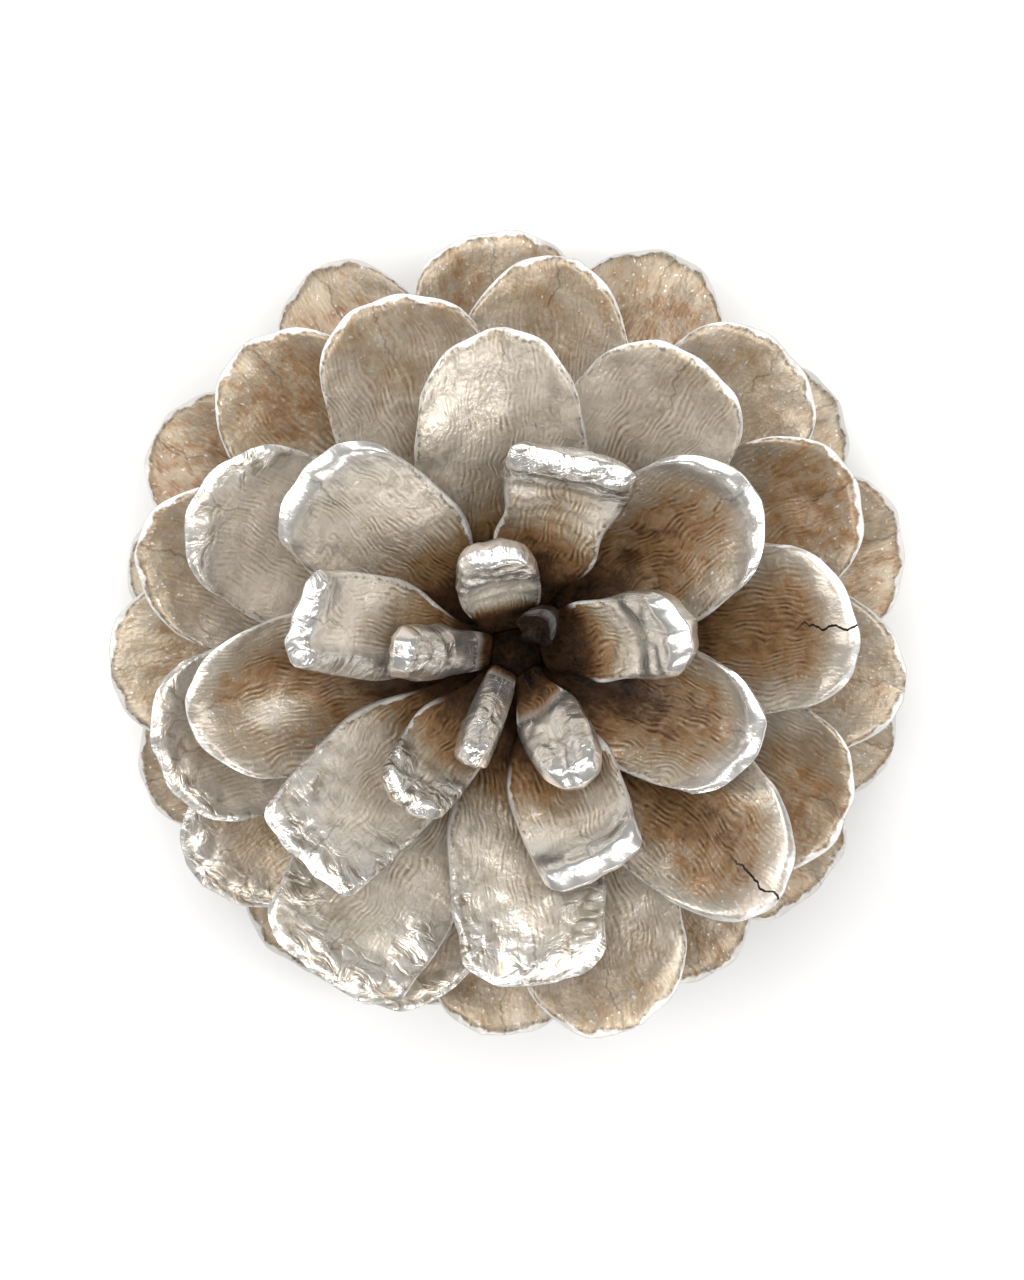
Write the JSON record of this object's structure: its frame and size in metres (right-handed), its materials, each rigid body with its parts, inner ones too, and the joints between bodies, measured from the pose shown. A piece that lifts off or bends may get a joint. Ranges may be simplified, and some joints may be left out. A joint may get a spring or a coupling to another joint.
{
  "type": "pine cone",
  "caption": "Open pine cone with woody scales spiralling round a central axis, sprayed with pale champagne metallic paint, standing on its stalk scar.",
  "frame": {"origin": "middle of the flat stalk scar that the cone stands on", "axes": "+Z runs along the cone's axis from the stalk scar to the tip; +X is the right-hand side of the picture's view down onto the tip, and +Y is the top of that view"},
  "size_m": [0.06, 0.0604, 0.0463],
  "materials": {
    "painted_scale": "thin satin champagne metallic spray paint over brown wood, brighter silver on the rims and ends",
    "axis_wood": "matt dark brown wood"
  },
  "bodies": {
    "root": {"cone_axis": "axis_wood", "tip_scale_01": "painted_scale", "tip_scale_02": "painted_scale", "tip_scale_03": "painted_scale", "tip_scale_04": "painted_scale", "tip_scale_05": "painted_scale", "tip_scale_06": "painted_scale", "tip_scale_07": "painted_scale", "tip_scale_08": "painted_scale", "upper_scale_01": "painted_scale", "upper_scale_02": "painted_scale", "upper_scale_03": "painted_scale", "upper_scale_04": "painted_scale", "upper_scale_05": "painted_scale", "upper_scale_06": "painted_scale", "upper_scale_07": "painted_scale", "upper_scale_08": "painted_scale", "upper_scale_09": "painted_scale", "upper_scale_10": "painted_scale", "upper_scale_11": "painted_scale", "upper_scale_12": "painted_scale", "upper_scale_13": "painted_scale", "middle_scale_01": "painted_scale", "middle_scale_02": "painted_scale", "middle_scale_03": "painted_scale", "middle_scale_04": "painted_scale", "middle_scale_05": "painted_scale", "middle_scale_06": "painted_scale", "middle_scale_07": "painted_scale", "middle_scale_08": "painted_scale", "middle_scale_09": "painted_scale", "middle_scale_10": "painted_scale", "middle_scale_11": "painted_scale", "middle_scale_12": "painted_scale", "middle_scale_13": "painted_scale", "middle_scale_14": "painted_scale", "middle_scale_15": "painted_scale", "middle_scale_16": "painted_scale", "lower_scale_01": "painted_scale", "lower_scale_02": "painted_scale", "lower_scale_03": "painted_scale", "lower_scale_04": "painted_scale", "lower_scale_05": "painted_scale", "lower_scale_06": "painted_scale", "lower_scale_07": "painted_scale", "lower_scale_08": "painted_scale", "lower_scale_09": "painted_scale", "lower_scale_10": "painted_scale", "lower_scale_11": "painted_scale", "lower_scale_12": "painted_scale", "lower_scale_13": "painted_scale", "basal_scale_01": "painted_scale", "basal_scale_02": "painted_scale", "basal_scale_03": "painted_scale", "basal_scale_04": "painted_scale", "basal_scale_05": "painted_scale", "basal_scale_06": "painted_scale", "basal_scale_07": "painted_scale", "basal_scale_08": "painted_scale"}
  },
  "joints": []
}
